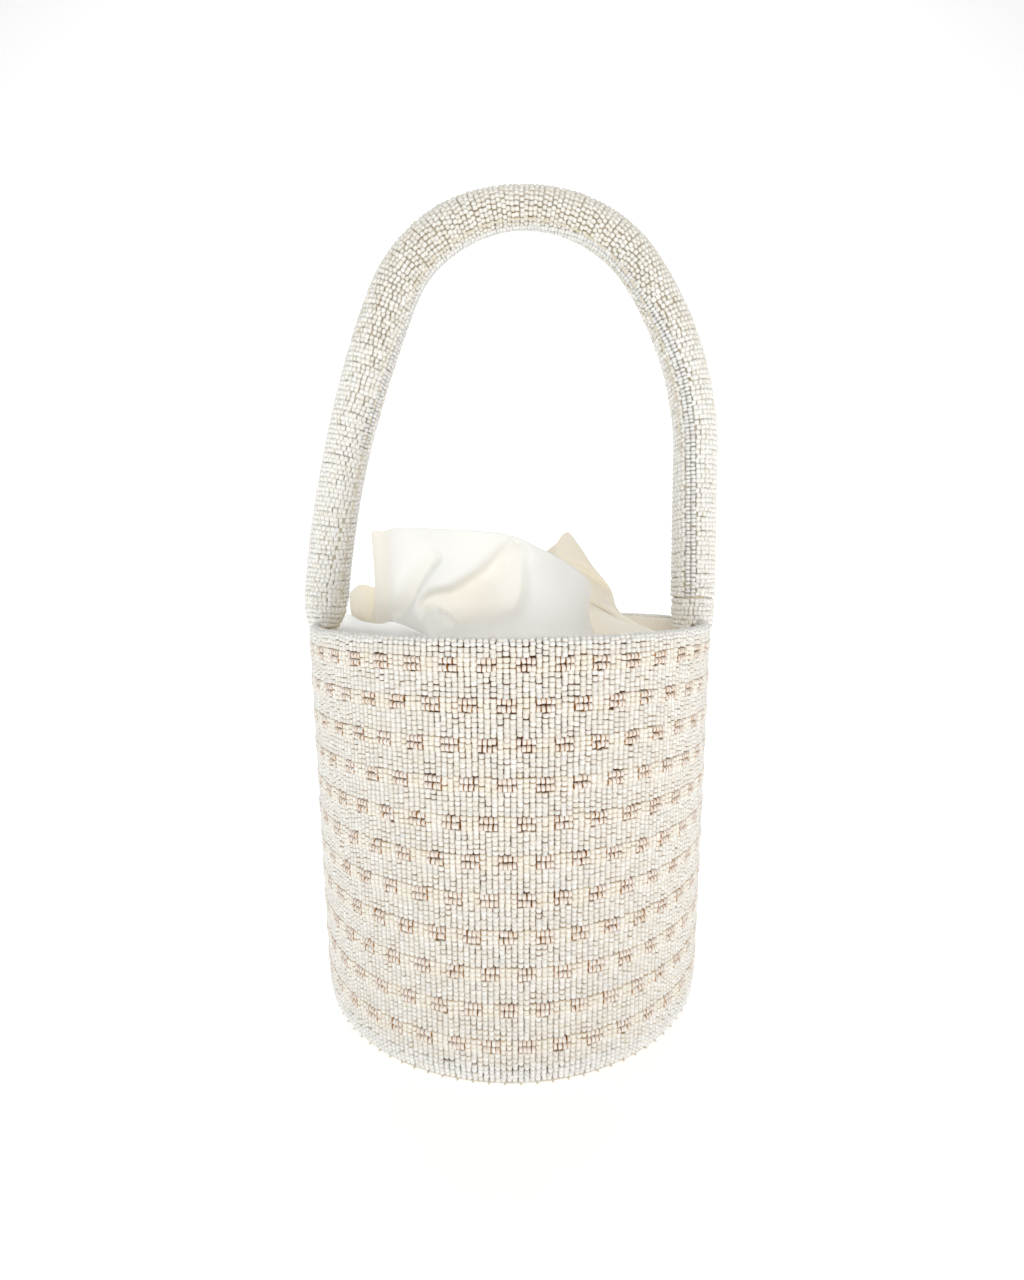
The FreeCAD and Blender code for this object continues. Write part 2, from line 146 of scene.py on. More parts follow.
# those rings' beads are left out inside the wall: lower than the first below the rim, and from the second
# outside its radius to the third inside it
FOOT_CLEARANCES = (1.3 * MM, 0.5 * MM, 5.6 * MM)
# the pair of strings along the seam
SEAM_START = 58 * MM
SEAM_PITCH = 1.46 * MM
SEAM_HALF_WIDTH = math.radians(15)
# the seam's turn from the arch's inner line towards the front, along the handle from the left foot
SEAM_TURNS = ((0.0, 75), (0.16, 30), (0.35, 0), (0.5, -4), (0.62, 22), (0.78, 60), (1.0, 68))
# how much fuller or slimmer the tube is along that length, and how far it leans to its inner side, in
# millimetres
SWELLS = (
    (0.0, 0.0), (0.12, 0.0), (0.3, 0.75), (0.4, 0.1), (0.5, -1.0), (0.62, -0.5), (0.75, -0.2), (1.0, 0.0),
)
LEANS = ((0.0, 0.0), (0.35, 0.0), (0.5, 0.9), (0.65, 0.1), (1.0, 0.0))
# the legs' beads are fuller, and painted paler than the crown's as painted light: how much wider they
# are, and their share of the beads along the handle
LEG_FULLNESS = 1.06
PAINTED_LIGHTER_LEG_SHARES = ((0.0, 1.0), (0.16, 1.0), (0.38, 0.0), (0.64, 0.0), (0.82, 1.0), (1.0, 1.0))


def wall_radius(height, inset=0.0):
    """The wall's radius at a height, so far inside the raised beads."""
    return BASE_RADIUS + (RIM_RADIUS - BASE_RADIUS) * height / RIM_HEIGHT - inset


def add_object(name, data):
    """A new object with that data, linked to the scene."""
    added = bpy.data.objects.new(name, data)
    bpy.context.scene.collection.objects.link(added)
    return added


# ---- the camera ----


CAMERA_PLACE = (0, -254 * MM, 152.3 * MM)
CAMERA_LENS = 18.42
# in degrees: how far it looks down and turns to the left, and its roll
CAMERA_DROP = 5.44
CAMERA_TURN = -0.17
CAMERA_ROLL = -0.37


def add_camera():
    """Close to the basket and a little above its rim, as the photograph was taken."""
    data = bpy.data.cameras.new("camera")
    data.lens = CAMERA_LENS
    camera = add_object("camera", data)
    camera.location = CAMERA_PLACE
    turn = Euler((math.radians(90 - CAMERA_DROP), 0, math.radians(CAMERA_TURN))).to_matrix()
    roll = Euler((0, 0, math.radians(CAMERA_ROLL))).to_matrix()
    camera.rotation_euler = (turn @ roll).to_euler()
    bpy.context.scene.camera = camera


add_camera()

# ---- materials ----


class Graph:
    """A material's nodes, with short ways to add and link them."""

    def __init__(self, name):
        self.material = bpy.data.materials.new(name)
        self.material.use_nodes = True
        self.nodes = self.material.node_tree.nodes
        self.shader = self.nodes["Principled BSDF"]

    def add(self, kind, **settings):
        node = self.nodes.new(kind)
        for key, value in settings.items():
            setattr(node, key, value)
        return node

    def link(self, output, socket):
        self.material.node_tree.links.new(output, socket)

    def feed(self, value, socket):
        """Set a socket to a number or a colour, or link another node's output to it."""
        if isinstance(value, (int, float)):
            socket.default_value = value
        elif isinstance(value, tuple):
            socket.default_value = linear(value)
        else:
            self.link(value, socket)

    def set(self, values):
        """Constant values on the shader's own sockets."""
        for socket, value in values.items():
            self.shader.inputs[socket].default_value = value

    def noise(self, scale, detail=2.0, roughness=0.5):
        """Noise in the object's own space."""
        place = self.add("ShaderNodeTexCoord").outputs["Object"]
        node = self.add("ShaderNodeTexNoise")
        node.inputs["Scale"].default_value = scale
        node.inputs["Detail"].default_value = detail
        node.inputs["Roughness"].default_value = roughness
        self.link(place, node.inputs["Vector"])
        return node.outputs["Fac"]

    def wave(self, vector, scale, direction):
        node = self.add("ShaderNodeTexWave", bands_direction=direction)
        node.inputs["Scale"].default_value = scale
        self.link(vector, node.inputs["Vector"])
        return node.outputs["Fac"]

    def maths(self, operation, first, second):
        node = self.add("ShaderNodeMath", operation=operation)
        for value, socket in zip((first, second), node.inputs):
            self.feed(value, socket)
        return node.outputs[0]

    def ramp(self, factor, stops):
        node = self.add("ShaderNodeValToRGB")
        elements = node.color_ramp.elements
        for _ in stops[2:]:
            elements.new(0.5)
        for element, (place, colour) in zip(elements, stops):
            element.position = place
            element.color = linear(colour)
        self.link(factor, node.inputs["Fac"])
        return node.outputs["Color"]

    def mix(self, factor, first, second):
        node = self.add("ShaderNodeMix", data_type="RGBA")
        for value, socket in zip((factor, first, second), (node.inputs[0], node.inputs[6], node.inputs[7])):
            self.feed(value, socket)
        return node.outputs[2]

    def bump(self, height, strength, distance):
        node = self.add("ShaderNodeBump")
        node.inputs["Strength"].default_value = strength
        node.inputs["Distance"].default_value = distance
        self.link(height, node.inputs["Height"])
        self.link(node.outputs["Normal"], self.shader.inputs["Normal"])


def linear(colour):
    """A colour written from 0 to 255 in display values, as linear light with full alpha."""
    shares = [c / 255 for c in colour]
    return (*[s / 12.92 if s <= 0.04045 else ((s + 0.055) / 1.055) ** 2.4 for s in shares], 1.0)


def bead_material(name, lots, end, coat=0.5):
    """Lined glass: each bead takes its colour from its lot, and turns to its lining's colour at its ends
    and sides: partly the lining showing through the glass, partly painted shade where beads meet their
    neighbours.
    """
    graph = Graph(name)
    lot = graph.add("ShaderNodeAttribute", attribute_name="lot").outputs["Fac"]
    depth = graph.add("ShaderNodeAttribute", attribute_name="hole").outputs["Fac"]
    stops = [(i / (len(lots) - 1), colour) for i, colour in enumerate(lots)]
    body = graph.ramp(lot, stops)
    swirl = graph.noise(1400, 3.0)
    body = graph.mix(graph.maths("MULTIPLY", swirl, 0.16), body, (196, 186, 172))
    # the lining's colour at a bead's ends and sides, laid partly as painted shade between beads
    edge = graph.maths("POWER", depth, 1.6)
    graph.link(graph.mix(edge, body, end), graph.shader.inputs["Base Color"])
    graph.set({"Roughness": 0.24, "Coat Weight": coat, "Coat Roughness": 0.08, "Specular IOR Level": 0.6})
    return graph.material


WEAVE_RELIEF = 0.00004


def cloth_material(name, colour, shade, sizes, pitch, roughness, sheen, painted_shade=None):
    """Woven cloth: warp and weft as fine bands on the cloth's own map, with a soft drift of tone.

    The sheet's two sizes and its threads' pitch are in millimetres. Where the point attribute "tone"
    rises the cloth turns to a deeper cream, which is painted shade on folds turned from the light and in
    creases.
    """
    graph = Graph(name)
    flat = graph.add("ShaderNodeUVMap", uv_map=MAP_NAME).outputs["UV"]
    across = graph.wave(flat, thread_count(sizes[0], pitch), "X")
    along = graph.wave(flat, thread_count(sizes[1], pitch), "Y")
    weave = graph.maths("MULTIPLY", across, along)
    drift = graph.noise(60, 4.0, 0.6)
    fleck = graph.noise(900, 2.0)
    tone = graph.maths("MULTIPLY", weave, 0.25)
    tone = graph.maths("ADD", tone, graph.maths("MULTIPLY", drift, 0.6))
    tone = graph.maths("ADD", tone, graph.maths("MULTIPLY", fleck, 0.2))
    body = graph.ramp(tone, ((0.25, shade), (0.75, colour)))
    # painted shade: the tone attribute deepens the cream where folds turn from the light and in creases
    if painted_shade:
        share = graph.add("ShaderNodeAttribute", attribute_name="tone").outputs["Fac"]
        body = graph.mix(share, body, painted_shade)
    graph.link(body, graph.shader.inputs["Base Color"])
    graph.bump(weave, 0.35, WEAVE_RELIEF)
    graph.set({"Roughness": roughness, "Sheen Weight": sheen, "Sheen Roughness": 0.35})
    return graph.material


def plain_material(name, colour, shade, grain, roughness, relief):
    """Card, wadding or thread: a fine grain of two tones with its relief."""
    graph = Graph(name)
    flecks = graph.noise(grain, 5.0, 0.65)
    graph.link(graph.ramp(flecks, ((0.35, shade), (0.65, colour))), graph.shader.inputs["Base Color"])
    graph.bump(flecks, 0.4, relief)
    graph.set({"Roughness": roughness})
    return graph.material


def thread_count(span, pitch):
    """The wave texture's scale for threads so far apart over a map that spans one sheet."""
    return span / pitch * math.pi / 10


# each bead material's last colour is its lining's, laid at its beads' ends and sides: partly the lining's
# own colour, partly painted shade between beads
RUST_LINING_AND_SHADE = (178, 118, 20)
MATERIALS = {
    "ivory": bead_material(
        "ivory_beads",
        (
            (232, 230, 223), (243, 240, 233), (237, 233, 224),
            (250, 249, 245), (239, 234, 221), (234, 233, 229),
        ),
        (206, 176, 136),
    ),
    "cream": bead_material(
        "cream_beads",
        ((242, 237, 224), (247, 244, 235), (240, 234, 218), (250, 248, 242)),
        (222, 188, 136),
    ),
    "blush": bead_material(
        "blush_beads",
        ((244, 236, 226), (249, 243, 235), (241, 229, 214), (252, 248, 243), (240, 226, 210)),
        RUST_LINING_AND_SHADE,
    ),
    "edge": bead_material(
        "edge_beads",
        ((240, 239, 235), (248, 247, 243), (235, 235, 232), (252, 251, 249), (244, 240, 231)),
        (224, 214, 196),
    ),
    # the crown's beads, painted a little darker than the legs' as painted shade
    "handle": bead_material(
        "handle_beads",
        (
            (241, 239, 231), (247, 246, 241), (237, 233, 222),
            (243, 240, 231), (249, 248, 244), (233, 230, 221),
        ),
        (214, 200, 172),
        0.6,
    ),
    # the legs' beads, painted paler than the crown's as painted light
    "leg": bead_material(
        "leg_beads_painted_lighter",
        (
            (251, 249, 243), (255, 254, 251), (247, 244, 235),
            (253, 250, 242), (255, 255, 253), (245, 243, 236),
        ),
        (240, 232, 214),
        0.8,
    ),
    "seam": bead_material(
        "seam_beads",
        ((242, 241, 236), (251, 251, 248), (236, 234, 231)),
        (214, 209, 207),
        0.9,
    ),
}


# ---- beads ----

SIDES = 8
RINGS = 6
# how unevenly beads lie and are made: their shift, their tilt in radians, and their length and width
SHIFT_SPREAD = 0.05 * MM
TILT_SPREAD = 0.05
LENGTH_SPREAD = 0.045
WIDTH_SPREAD = 0.04
# half of a bead's outline, from its end to near its middle: how far along the hole in lengths, half
# its width in widths, and how much of the lining's colour is laid there: partly the hole's lining showing
# through, partly painted shade in the groove between beads on a string
CUT = ((0.5, 0.33, 0.9), (0.44, 0.445, 0.3), (0.27, 0.5, 0.0))
OPEN = ((0.5, 0.29, 1.0), (0.43, 0.43, 0.9), (0.31, 0.5, 0.08))
ROUND = ((0.5, 0.2, 1.0), (0.41, 0.385, 0.4), (0.19, 0.5, 0.0))
FULL = ((0.5, 0.29, 0.8), (0.45, 0.44, 0.25), (0.25, 0.5, 0.0))
# how much of the lining's colour is laid on a bead's sides, next to its neighbours: partly the lining
# showing through, partly painted shade and painted reflection of the cloth in the gap between strings
SIDE_LINING_AND_SHADE = 0.5
OUTLINES = {
    "ivory": CUT, "cream": CUT, "blush": OPEN, "edge": ROUND, "handle": ROUND, "leg": FULL, "seam": ROUND,
}


class Beads:
    """Beads gathered for one piece, each with its place, the way its hole runs, its size and kind."""

    def __init__(self, seed):
        self.random = np.random.default_rng(seed)
        self.rows = []

    def add(self, centre, hole, out, length, width, kind, loose=1.0):
        """A row of beads: centre, hole and out are arrays of vectors, and kind one name or an array.

        Loose scales how unevenly they lie.
        """
        count = len(centre)
        draw = self.random
        side = np.cross(out, hole)
        shift = draw.normal(0, SHIFT_SPREAD * loose, (count, 2))
        centre = centre + hole * shift[:, :1] + side * shift[:, 1:]
        tilt = draw.normal(0, TILT_SPREAD * loose, (count, 2))
        hole = unit(hole + side * tilt[:, :1] + out * tilt[:, 1:] * 0.6)
        lengths = length * (1 + draw.normal(0, LENGTH_SPREAD, count))
        widths = width * (1 + draw.normal(0, WIDTH_SPREAD, count))
        kinds = np.full(count, kind, object)
        self.rows.append((centre, hole, out, lengths, widths, kinds, draw.random(count)))

    def joined(self):
        return [np.concatenate(column) for column in zip(*self.rows)]


def unit(vectors):
    return vectors / np.linalg.norm(vectors, axis=1, keepdims=True)


def outline_faces():
    """One bead's faces, as rows of corner numbers, and each corner's place on the bead's own map."""
    faces, places = [], []
    bands = RINGS - 1
    for band in range(bands):
        low, high = band * SIDES, (band + 1) * SIDES
        for side in range(SIDES):
            after = (side + 1) % SIDES
            faces.append((low + side, low + after, high + after, high + side))
            places += [
                (across / SIDES, up / bands)
                for across, up in ((side, band), (side + 1, band), (side + 1, band + 1), (side, band + 1))
            ]
    last = bands * SIDES
    faces.append(tuple(reversed(range(SIDES))))
    places += [(side / SIDES, 0.0) for side in reversed(range(SIDES))]
    faces.append(tuple(range(last, last + SIDES)))
    places += [(side / SIDES, 1.0) for side in range(SIDES)]
    return faces, np.array(places)


def bead_piece(name, beads):
    """One mesh of all those beads, each a closed barrel with its own patch of the map."""
    centre, hole, out, lengths, widths, kinds, lots = beads.joined()
    count = len(centre)
    side = unit(np.cross(out, hole))
    out = np.cross(hole, side)
    turns = np.arange(SIDES) * 2 * math.pi / SIDES
    halves = np.array([OUTLINES[kind] for kind in kinds])
    outlines = np.concatenate([halves * (-1, 1, 1), halves[:, ::-1]], axis=1)
    points = np.empty((count, RINGS, SIDES, 3))
    for ring in range(RINGS):
        middle = centre + hole * (lengths * outlines[:, ring, 0])[:, None]
        for corner, turn in enumerate(turns):
            spoke = out * math.cos(turn) + side * math.sin(turn)
            points[:, ring, corner] = middle + spoke * (widths * outlines[:, ring, 1])[:, None]
    faces, places = outline_faces()
    sizes = np.array([len(face) for face in faces])
    corners = np.concatenate([np.array(face) for face in faces])
    per_bead = RINGS * SIDES
    mesh = bpy.data.meshes.new(name)
    mesh.vertices.add(count * per_bead)
    mesh.vertices.foreach_set("co", points.ravel())
    mesh.loops.add(count * len(corners))
    mesh.loops.foreach_set("vertex_index", (corners + np.arange(count)[:, None] * per_bead).ravel())
    mesh.polygons.add(count * len(faces))
    totals = np.tile(sizes, count)
    mesh.polygons.foreach_set("loop_start", np.concatenate([[0], np.cumsum(totals)[:-1]]))
    mesh.polygons.foreach_set("use_smooth", np.ones(len(totals), bool))
    shown = sorted(set(kinds))
    for kind in shown:
        mesh.materials.append(MATERIALS[kind])
    slots = np.array([shown.index(kind) for kind in kinds])
    mesh.polygons.foreach_set("material_index", np.repeat(slots, len(faces)))
    mesh.update(calc_edges=True)
    lot = mesh.attributes.new("lot", "FLOAT", "FACE")
    lot.data.foreach_set("value", np.repeat(lots, len(faces)))
    # the lining's colour laid on each bead's sides next to its neighbours: partly lining showing through,
    # partly painted shade between strings
    sides_lined_and_shaded = SIDE_LINING_AND_SHADE * np.sin(turns) ** 4
    tones = np.maximum(outlines[:, :, 2, None], sides_lined_and_shaded)
    depth = mesh.attributes.new("hole", "FLOAT", "POINT")
    depth.data.foreach_set("value", tones.ravel())
    cells = math.ceil(math.sqrt(count))
    cell = np.stack([np.arange(count) % cells, np.arange(count) // cells], axis=1)
    patch = (cell[:, None, :] + 0.1 + places[None] * 0.8) / cells
    mesh.uv_layers.new(name=MAP_NAME).data.foreach_set("uv", patch.ravel())
    mesh.validate()
    return add_object(name, mesh)


def sew(beads, name, body, node):
    """Those beads as one piece, which rides its body and replaces a CAD node."""
    piece = bead_piece(name, beads)
    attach(piece, body)
    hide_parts(node)


# ---- the beads of the wall ----


def around(columns, height, inset, width):
    """Centres and outward directions of beads at those columns of the wall, counted from the front."""
    turns = -math.pi / 2 + np.asarray(columns) * 2 * math.pi / COLUMN_COUNT
    out = np.stack([np.cos(turns), np.sin(turns), np.zeros(len(turns))], axis=1)
    radius = wall_radius(height, inset) - width / 2
    centre = out * radius
    centre[:, 2] = height
    return centre, out


def wall_slope(out):
    """Up the wall, at each of those outward directions."""
    lean = (RIM_RADIUS - BASE_RADIUS) / RIM_HEIGHT
    return unit(out * lean + UP)


UP = np.array((0.0, 0.0, 1.0))
COLUMNS = np.arange(COLUMN_COUNT) + COLUMN_START
# how far each string rides up, midway between the courses and then at each one's squares in turn
LIFTS = np.random.default_rng(STRING_SEED).normal(0, LIFT_BETWEEN, (2 * COURSE_COUNT + 3, COLUMN_COUNT))
LIFTS[1::2] *= LIFT_BESIDE / LIFT_BETWEEN


def upright_row(beads, columns, height, inset, width, kind, loose=1.0, lifts=0.0):
    centre, out = around(columns, height, inset, width)
    centre[:, 2] += lifts
    beads.add(centre, wall_slope(out), out, BEAD_LENGTH, width, kind, loose)


def turned_row(beads, squares, height):
    """Rows of beads on their sides, each filling the width of its square."""
    share = (np.arange(TURNED_PER_SQUARE) + 0.5) / TURNED_PER_SQUARE * SQUARE_COLUMNS
    columns = (np.asarray(squares)[:, None] + share - SQUARE_COLUMNS / 2).ravel()
    centre, out = around(columns, height, RAISED_INSET, TURNED_WIDTH)
    hole = np.cross(UP, out)
    length = SQUARE_COLUMNS * 2 * math.pi * RIM_RADIUS / COLUMN_COUNT / TURNED_PER_SQUARE
    beads.add(centre, hole, out, length, TURNED_WIDTH, "blush", 1.6)


def lifts_at(height):
    """How far each string of beads rides up at a height: no two strings run quite level."""
    share = (FIRST_COURSE_HEIGHT - height) / (COURSE_PITCH / 2) + 1
    upper = int(share)
    return LIFTS[upper] + (LIFTS[upper + 1] - LIFTS[upper]) * (share - upper)


def make_course(number):
    """One course: plain rows above and below a band of squares and raised upright strings."""
    beads = Beads(COURSE_SEED + number)
    middle = FIRST_COURSE_HEIGHT - number * COURSE_PITCH
    loose = 1.5 if number == 0 else 1.0
    for row in PLAIN_ROWS:
        height = middle + row * ROW_PITCH
        upright_row(beads, COLUMNS, height, PLAIN_INSET, PLAIN_WIDTH, "ivory", loose, lifts_at(height))
    shift = SQUARE_COLUMNS * (number % 2)
    place = (np.arange(COLUMN_COUNT) - 1 - shift) % PATTERN_COLUMNS
    raised = place >= SQUARE_COLUMNS
    for row in RAISED_ROWS:
        height = middle + row * ROW_PITCH
        lifts = lifts_at(height)[raised]
        upright_row(beads, COLUMNS[raised], height, RAISED_INSET, RAISED_WIDTH, "cream", 1.0, lifts)
    squares = COLUMNS[place == SQUARE_COLUMNS // 2]
    for row in TURNED_ROWS:
        turned_row(beads, squares, middle + row * ROW_PITCH)
    sew(beads, f"wall_beads_{number + 1:02d}", "basket", f"bead_course_{number + 1:02d}")


def make_rim_beads():
    """The strings' last rows, which roll in over the top of the wall."""
    beads = Beads(RIM_SEED)
    height = FIRST_COURSE_HEIGHT + 4 * ROW_PITCH
    upright_row(beads, COLUMNS, height, EDGE_INSET, EDGE_WIDTH, "edge", 1.8, LIFTS[0] * 0.7)
    _, out = around(COLUMNS, RIM_HEIGHT, 0, 0)
    for turn, loose in ROLL_ROWS:
        turn = math.radians(turn)
        outward = out * math.cos(turn) + UP * math.sin(turn)
        upward = UP * math.cos(turn) - out * math.sin(turn)
        centre = out * (RIM_RADIUS - RIM_ROLL) + UP * (RIM_HEIGHT - RIM_DROP) + outward * ROLL_REACH
        centre += upward * LIFTS[0][:, None] * 0.5
        beads.add(centre, upward, outward, ROLL_LENGTH, ROLL_WIDTH, "edge", loose)
    sew(beads, "rim_beads", "basket", "rim_bead_edging")


def make_base_beads():
    """The last rows of the wall, which curve in under the base's edge."""
    beads = Beads(BASE_SEED)
    for height, inset in BASE_ROWS:
        upright_row(beads, COLUMNS, height * MM, inset * MM, EDGE_WIDTH, "edge", 1.6)
    sew(beads, "base_beads", "basket", "base_bead_edging")


for course in range(COURSE_COUNT):
    make_course(course)
make_rim_beads()
make_base_beads()


# ---- the handle ----


def bearing(start, end):
    return math.atan2(end.y - start.y, end.x - start.x)


def meeting(first, first_radius, second, second_radius):
    """Where two circles cross, to the right of the line from the first to the second."""
    between = second - first
    span = between.length
    along = (first_radius**2 - second_radius**2 + span**2) / (2 * span)
    off = math.sqrt(first_radius**2 - along**2)
    unit_between = between / span
    return first + unit_between * along + Vector((-unit_between.y, unit_between.x)) * off


class HandleLine:
    """The handle's centreline seen from the front, measured along from its left foot."""

    def __init__(self):
        left_foot = Vector((-FOOT_REACH, PIVOT_HEIGHT))
        across = FOOT_REACH - RIGHT_RADIUS
        drop = math.sqrt((RIGHT_RADIUS - CROWN_RADIUS) ** 2 - (across - CROWN_CENTRE.x) ** 2)
        right = Vector((across, CROWN_CENTRE.y - drop))
        left = meeting(CROWN_CENTRE, LEFT_RADIUS - CROWN_RADIUS, left_foot, LEFT_RADIUS)
        left_shoulder = math.pi + bearing(CROWN_CENTRE, left)
        right_shoulder = bearing(right, CROWN_CENTRE)
        self.arcs = (
            (left, LEFT_RADIUS, math.pi + bearing(left_foot, left), left_shoulder),
            (CROWN_CENTRE, CROWN_RADIUS, left_shoulder, right_shoulder),
            (right, RIGHT_RADIUS, right_shoulder, 0.0),
        )
        self.lengths = [radius * (start - end) for _, radius, start, end in self.arcs]
        self.arcs_length = sum(self.lengths)
        self.length = self.arcs_length + right.y - PIVOT_HEIGHT

    def bend(self, along):
        """How sharply the line curves at that length: one over the arc's radius."""
        for (_, radius, _, _), length in zip(self.arcs, self.lengths):
            if 0 <= along < length:
                return 1 / radius
            along -= length
        return 0.0

    def at(self, along):
        """The point at that length, the way the handle runs there, and the way to its inner side."""
        if along >= self.arcs_length:
            point = (FOOT_REACH, 0, PIVOT_HEIGHT + self.length - along)
            return np.array(point), np.array((0.0, 0, -1)), np.array((-1.0, 0, 0))
        if along < 0:
            point, run, inner = self.at(0)
            return point + run * along, run, inner
        for (centre, radius, start, _), length in zip(self.arcs, self.lengths):
            if along < length:
                break
            along -= length
        turn = start - along / radius
        outer = np.array((math.cos(turn), 0, math.sin(turn)))
        point = np.array((centre.x, 0, centre.y)) + radius * outer
        return point, np.array((math.sin(turn), 0, -math.cos(turn))), -outer


LINE = HandleLine()
FRONT = np.array((0.0, -1.0, 0.0))


def eased(table, along):
    """A value that eases from one row of a table to the next, by the share of the handle's length."""
    share = min(max(along / LINE.length, 0), 1)
    for (start, first), (end, second) in zip(table, table[1:]):
        if share <= end:
            ease = (share - start) / (end - start)
            return first + (second - first) * ease * ease * (3 - 2 * ease)


def seam_turn(along):
    """How far the seam has turned from the handle's inner line to its front, at that length."""
    return math.radians(eased(SEAM_TURNS, along))


def spokes(along, turns):
    """Outward directions at turns from the tube's inner line to its front, and the way round at each."""
    _, _, inner = LINE.at(along)
    cos, sin = np.cos(turns)[:, None], np.sin(turns)[:, None]
    return inner * cos + FRONT * sin, FRONT * cos - inner * sin


def foot_shape(along):
    """Past a foot the tube flattens inside its roll, and narrows: its flatness and two side trims."""
    drop = max(-along, along - LINE.length, 0.0)
    inner_trim, outer_trim = (trim * drop for trim in END_TRIMS)
    return math.sqrt(1 - (drop / BEAD_REACH) ** 2), inner_trim, outer_trim


def round_tube(along, turns, reach):
    """Points round the tube at that length, with their outward directions and the string's own way."""
    centre, _, inner = LINE.at(along)
    centre = centre + inner * eased(LEANS, along) * MM
    reach = reach + eased(SWELLS, along) * MM
    out, string = spokes(along, turns)
    squash, inner_trim, outer_trim = foot_shape(along)
    flat = np.array((1.0, squash, 1.0))
    inward = (out @ inner)[:, None]
    trim = inner * (inner_trim * np.clip(inward, 0, 1) + outer_trim * np.clip(inward, -1, 0))
    return centre + out * reach * flat - trim, out, unit(string * flat)


def handle_ring(beads, along, odd=0):
    """A string of beads that runs round the tube from one side of its seam to the other."""
    _, run, inner = LINE.at(along)
    squash, _, _ = foot_shape(along)
    half = SEAM_HALF_WIDTH if SEAM_START < along < LINE.length else 0.0
    start = seam_turn(along) + half
    span = 2 * math.pi - 2 * half
    reach = BEAD_REACH + eased(SWELLS, along) * MM
    count = round(span * reach * (1 + squash) / 2 / RING_STEP)
    shares = (np.arange(count) + RING_START + RING_STAGGER * odd) / count
    turns = start + shares * span + beads.random.normal(0, RING_JITTER)
    place, out, string = round_tube(along, turns, BEAD_REACH)
    wander = beads.random.uniform(0, 2 * math.pi)
    sway = RING_SWAY * (np.sin(turns + wander) + 0.7 * np.sin(2.7 * turns + 2 * wander))
    if squash == 1:
        fade = min(along, LINE.length - along, SLANT_FADE) / SLANT_FADE
        sway -= RING_SLANT * fade * np.clip((turns - start) / span * 3 - 2, 0, 1) ** 2
    widths = HANDLE_BEAD * (1 - LINE.bend(along) * BEAD_REACH * (out @ inner))
    # paler beads on the legs, darker on the crown: painted light and painted shade along the handle
    kinds = np.where(beads.random.random(count) < eased(PAINTED_LIGHTER_LEG_SHARES, along), "leg", "handle")
    widths = widths * np.where(kinds == "leg", LEG_FULLNESS, 1)
    beads.add(place + run * sway[:, None], string, out, RING_STEP, widths, kinds, 1.8)


def seam_strings(beads, start, end):
    """Two strings of beads laid along the tube, over the join of its cover."""
    for along in np.arange(max(start, SEAM_START - RING_SLANT), end, SEAM_PITCH):
        _, run, _ = LINE.at(along)
        turns = seam_turn(along) + np.array((-0.5, 0.5)) * SEAM_HALF_WIDTH
        place, out, _ = round_tube(along, turns, BEAD_REACH)
        beads.add(place, np.tile(run, (2, 1)), out, SEAM_PITCH, HANDLE_BEAD, "seam", 1.7)


def make_handle():
    """The beaded cover in four lengths."""
    ends = np.linspace(0, LINE.length, 5)
    for number, name in enumerate(("left", "crown_left", "crown_right", "right")):
        start, end = ends[number], ends[number + 1]
        beads = Beads(HANDLE_SEED + number)
        for ring in range(math.ceil(start / RING_PITCH), math.ceil(end / RING_PITCH)):
            handle_ring(beads, ring * RING_PITCH, ring % 2)
        seam_strings(beads, start, end)
        sew(beads, f"handle_beads_{name}", "handle", "handle_bead_cover")


def make_handle_end(side, foot, run):
    """Rings that close in below a foot, inside the roll on which the handle turns."""
    beads = Beads(END_SEED + run)
    for drop in END_DROPS:
        handle_ring(beads, foot + run * drop)
    sew(beads, f"handle_end_beads_{side}", "handle", f"{side}_handle_end")


def make_foot(side, foot, run, shape):
    """Rings sewn round a foot and down inside the rim.

    No bead is laid inside the wall's own thickness.
    """
    count, inner_curve, outer_curve = shape
    beads = Beads(FOOT_SEED + run)
    for drop in FOOT_START + np.arange(count) * RING_PITCH:
        centre, _, inner = LINE.at(foot + run * drop)
        around_foot = round(2 * math.pi * BEAD_REACH / RING_STEP)
        turns = (np.arange(around_foot) + beads.random.random()) / around_foot * 2 * math.pi
        out, string = spokes(foot, turns)
        inward = (out @ inner)[:, None]
        trim = inner_curve * np.clip(inward, 0, 1) + outer_curve * np.clip(inward, -1, 0)
        place = centre + out * BEAD_REACH - inner * trim * drop**2
        reach = np.hypot(place[:, 0], place[:, 1])
        above = place[:, 2] > RIM_HEIGHT - FOOT_CLEARANCES[0]
        beside = (reach > RIM_RADIUS + FOOT_CLEARANCES[1]) | (reach < RIM_RADIUS - FOOT_CLEARANCES[2])
        clear = above | beside
        # the feet take the legs' paler beads, painted light
        beads.add(place[clear], string[clear], out[clear], RING_STEP, HANDLE_BEAD, "leg", 2.0)
    piece = bead_piece(f"{side}_foot_beads", beads)
    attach(piece, "basket")
    hinge = (foot_centre(foot), 0, FOOT_ANCHOR)
    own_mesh(piece)


def foot_centre(foot):
    return float(LINE.at(foot)[0][0])


make_handle()
make_handle_end("left", 0.0, -1)
make_handle_end("right", LINE.length, 1)
make_foot("left", 0.0, -1, LEFT_FOOT)
make_foot("right", LINE.length, 1, RIGHT_FOOT)


# ---- cloth ----

